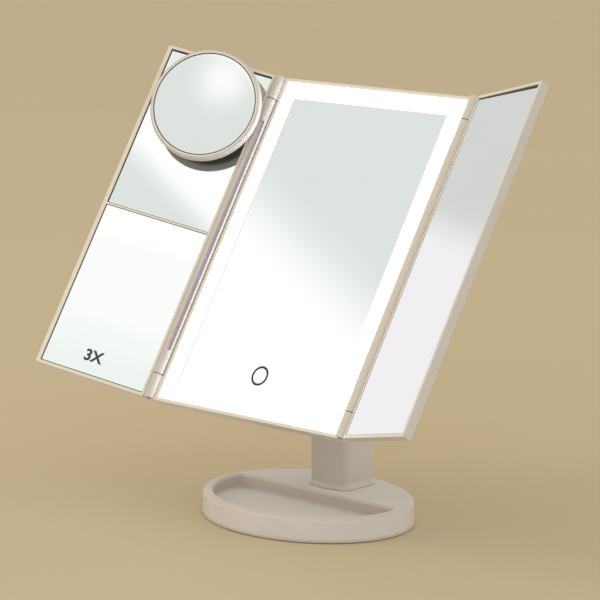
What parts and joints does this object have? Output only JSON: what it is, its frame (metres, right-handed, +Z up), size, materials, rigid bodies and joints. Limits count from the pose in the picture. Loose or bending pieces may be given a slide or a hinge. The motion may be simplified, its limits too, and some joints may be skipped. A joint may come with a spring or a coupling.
{
  "type": "trifold vanity mirror",
  "caption": "Trifold tabletop vanity mirror with a lit border round the centre panel, folding wings, a round magnifier on a suction cup, and a tray base.",
  "frame": {"origin": "centre of the underside of the oval non-slip pad, where the base rests on a table", "axes": "+Z up, the mirrors face -Y, +X towards the wing with the single mirror"},
  "size_m": [0.3894, 0.1953, 0.3483],
  "materials": {
    "warm_plastic": "satin warm off-white moulding",
    "white_plastic": "matt white moulding",
    "opal": "opal diffuser, lit white from behind",
    "mirror_glass": "silvered glass with a faint green cast",
    "steel": "plated steel",
    "dark_rubber": "matt dark grey",
    "circuit_board": "green solder mask",
    "cell_can": "plain wrapped cell"
  },
  "bodies": {
    "base": {"base_shell": "warm_plastic", "base_bottom_plate": "warm_plastic", "non_slip_pad": "dark_rubber", "ballast_plate": "steel", "post_shell": "warm_plastic", "post_screw_left": "steel", "post_screw_right": "steel"},
    "head": {"centre_front_frame": "warm_plastic", "centre_rear_cover": "warm_plastic", "centre_mirror": "mirror_glass", "light_diffuser": "opal", "light_channel_tray": "white_plastic", "light_strip_left": "circuit_board", "light_strip_right": "circuit_board", "light_strip_top": "circuit_board", "light_strip_bottom": "circuit_board", "touch_sensor_board": "circuit_board", "control_board": "circuit_board", "power_socket": "steel", "battery_cell_1": "cell_can", "battery_cell_2": "cell_can", "battery_cell_3": "cell_can", "battery_cell_4": "cell_can", "battery_contacts_top": "steel", "battery_contacts_bottom": "steel", "tilt_ear_left": "warm_plastic", "tilt_ear_right": "warm_plastic", "tilt_axle": "steel", "tilt_nut": "steel", "friction_washer_left": "dark_rubber", "friction_washer_right": "dark_rubber", "hinge_pin_left_top": "steel", "hinge_pin_left_bottom": "steel", "hinge_pin_right_top": "steel", "hinge_pin_right_bottom": "steel"},
    "left_wing": {"left_wing_frame": "warm_plastic", "left_wing_cover": "warm_plastic", "left_lower_mirror": "mirror_glass", "left_upper_mirror": "mirror_glass"},
    "right_wing": {"right_wing_frame": "warm_plastic", "right_wing_cover": "warm_plastic", "right_mirror": "mirror_glass"},
    "magnifier_mount": {"suction_cup": "dark_rubber", "ball_stud": "steel"},
    "magnifier": {"magnifier_housing": "warm_plastic", "magnifier_mirror": "mirror_glass"},
    "power_switch": {"power_switch_slider": "warm_plastic"},
    "battery_lid": {"battery_door": "warm_plastic"}
  },
  "joints": [
    {"name": "head_tilt", "type": "hinge", "parent": "base", "child": "head", "pos_m": [0, 0.0381, 0.1865], "axis": [-1, 0, 0], "range_deg": [-34.5, 57.5]},
    {"name": "left_wing_fold", "type": "hinge", "parent": "head", "child": "left_wing", "pos_m": [-0.1006, 0.00318, 0.20874], "axis": [0, 0.5373, 0.8434], "range_deg": [-24, 62]},
    {"name": "right_wing_fold", "type": "hinge", "parent": "head", "child": "right_wing", "pos_m": [0.1006, 0.00318, 0.20874], "axis": [0, -0.5373, -0.8434], "range_deg": [-24, 155]},
    {"name": "magnifier_lift_off", "type": "slide", "parent": "left_wing", "child": "magnifier_mount", "axis": [0.4067, -0.7705, 0.4908], "range_m": [0, 0.015]},
    {"name": "magnifier_tilt", "type": "hinge", "parent": "magnifier_mount", "child": "magnifier", "pos_m": [-0.13812, 0.03182, 0.3046], "axis": [0.9135, 0.343, -0.2185], "range_deg": [-13.5, 4.5]},
    {"name": "power_switch_travel", "type": "slide", "parent": "head", "child": "power_switch", "axis": [1, 0, 0], "range_m": [0, 0.003]},
    {"name": "battery_door_slide", "type": "slide", "parent": "head", "child": "battery_lid", "axis": [0, 0.5373, 0.8434], "range_m": [0, 0.014]}
  ]
}
